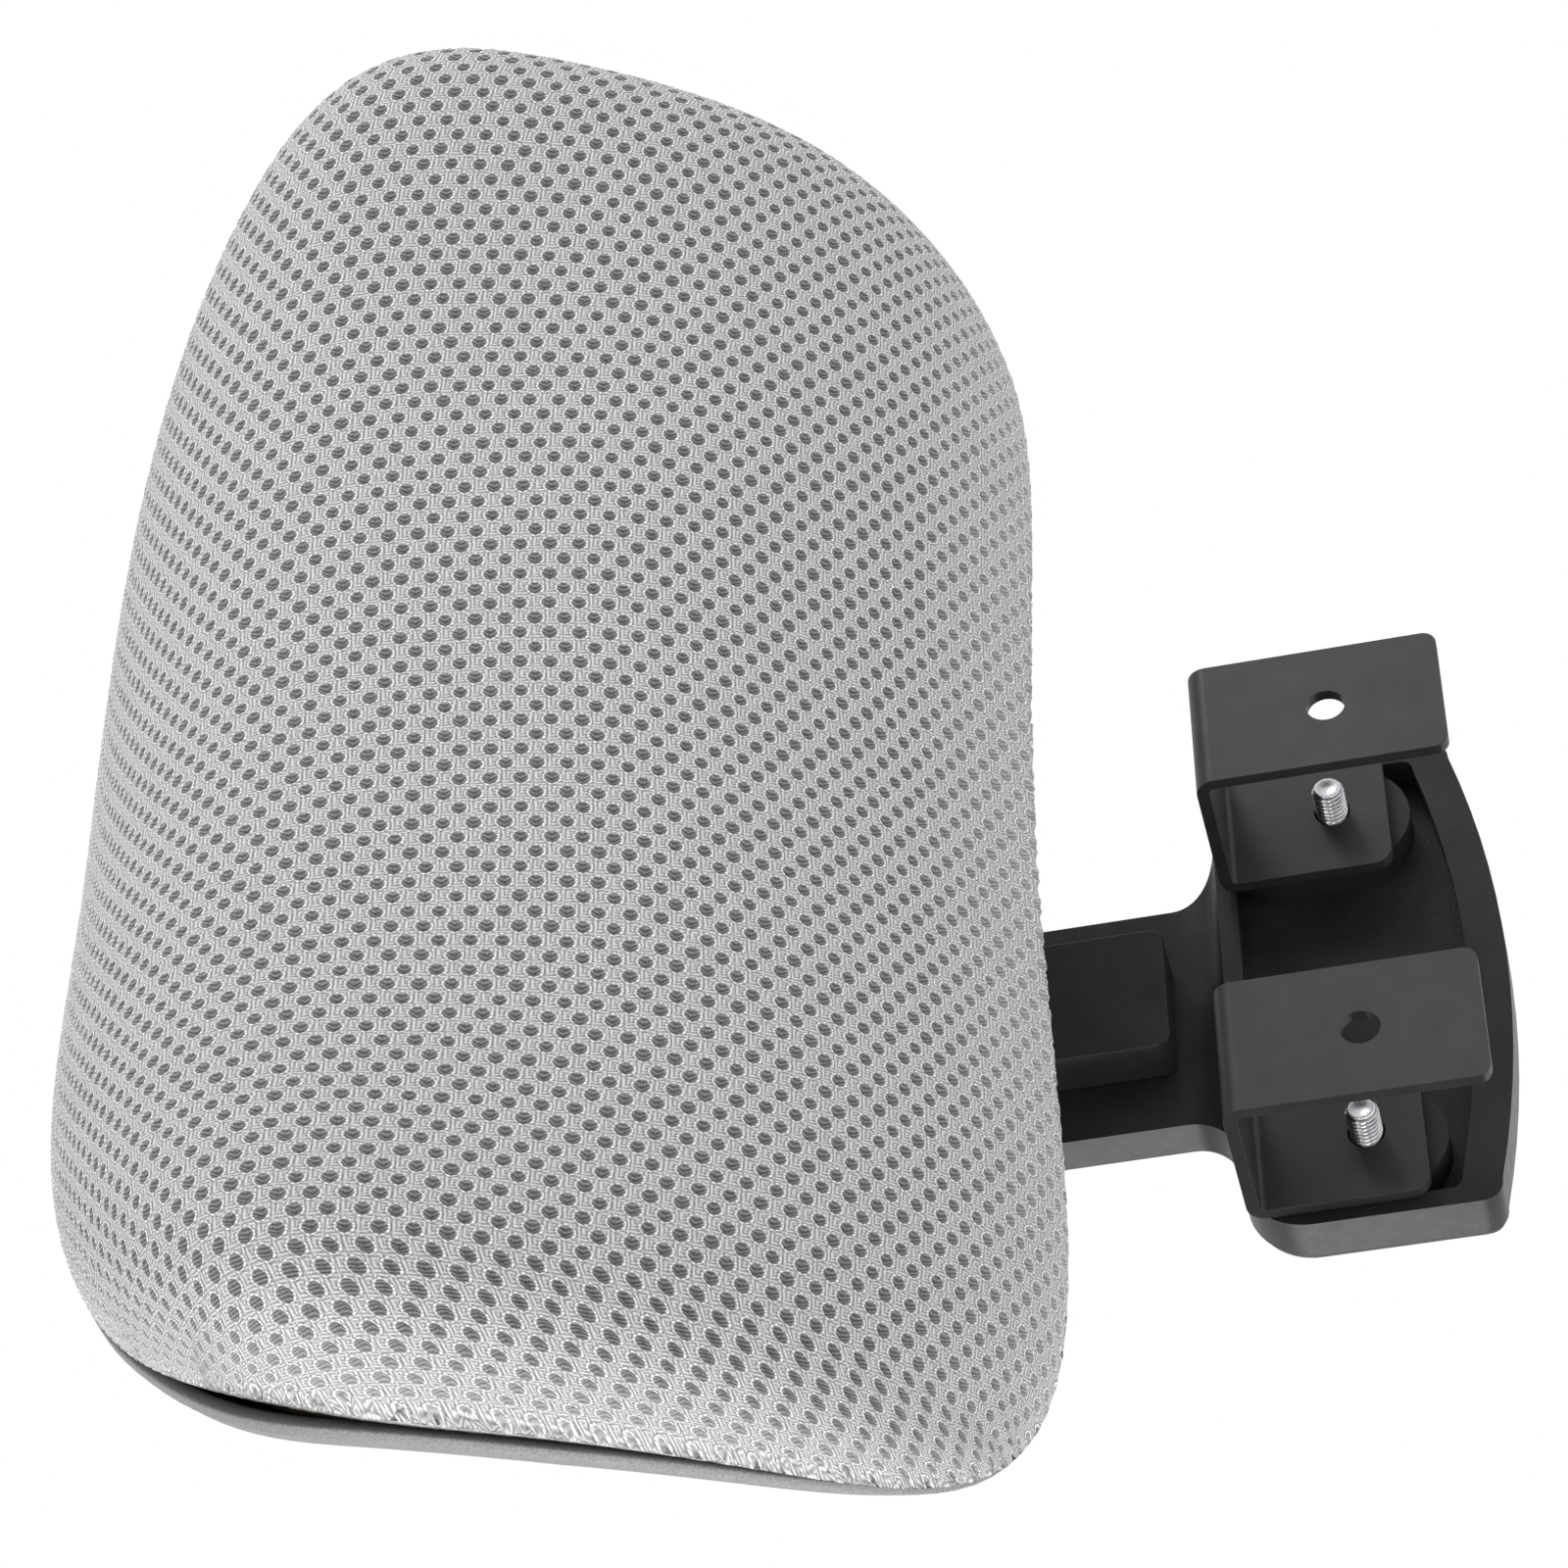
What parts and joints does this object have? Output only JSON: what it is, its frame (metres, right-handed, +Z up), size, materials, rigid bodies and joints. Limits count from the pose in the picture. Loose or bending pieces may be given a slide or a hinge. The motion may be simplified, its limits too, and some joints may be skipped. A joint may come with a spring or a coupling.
{
  "type": "clamp-on chair headrest",
  "caption": "Crescent mesh-covered head pad on a plastic shell, with a tilt hinge, a height slider and a T bracket whose steel clips and clamp screws grip a chair back's top edge.",
  "frame": {"origin": "where the chair back's top rear edge seats: midway between the clips, under their webs and against the front of their rear flanges", "axes": "+Z up, +X across the chair, -Y towards the sitter's head"},
  "size_m": [0.295, 0.1591, 0.2507],
  "materials": {
    "black_plastic": "moulded, satin",
    "black_steel": "satin black paint",
    "zinc_steel": "bright zinc plate",
    "white_nylon": "natural",
    "grey_plastic": "fine spark texture",
    "fibreboard": "raw",
    "foam": "open cell",
    "mesh_fabric": "knitted spacer mesh"
  },
  "bodies": {
    "bracket": {"t_bracket": "black_plastic", "left_clip": "black_steel", "right_clip": "black_steel", "left_captive_nut": "zinc_steel", "right_captive_nut": "zinc_steel"},
    "left_screw": {"left_clamp_screw": "zinc_steel"},
    "right_screw": {"right_clamp_screw": "zinc_steel"},
    "slider": {"slider_bar": "black_plastic", "keeper_plate": "zinc_steel", "lower_slide_washer": "zinc_steel", "upper_slide_washer": "zinc_steel", "lower_slide_screw": "zinc_steel", "upper_slide_screw": "zinc_steel", "hinge_pin": "zinc_steel", "hinge_nut": "zinc_steel", "hinge_spring_washer": "zinc_steel", "left_friction_washer": "white_nylon", "right_friction_washer": "white_nylon"},
    "pad": {"hinge_bracket": "black_steel", "hinge_screw_1": "zinc_steel", "hinge_screw_2": "zinc_steel", "hinge_screw_3": "zinc_steel", "hinge_screw_4": "zinc_steel", "back_shell": "grey_plastic", "support_board": "fibreboard", "foam_core": "foam", "mesh_cover": "mesh_fabric"}
  },
  "joints": [
    {"name": "left_clamp", "type": "slide", "parent": "bracket", "child": "left_screw", "axis": [0, -1, 0], "range_m": [-0.006, 0.007]},
    {"name": "right_clamp", "type": "slide", "parent": "bracket", "child": "right_screw", "axis": [0, -1, 0], "range_m": [-0.006, 0.007]},
    {"name": "height_slide", "type": "slide", "parent": "bracket", "child": "slider", "axis": [0, 0, 1], "range_m": [0, 0.045]},
    {"name": "pad_tilt", "type": "hinge", "parent": "slider", "child": "pad", "pos_m": [0, -0.0125, 0.108], "axis": [1, 0, 0], "range_deg": [-25, 20]}
  ]
}
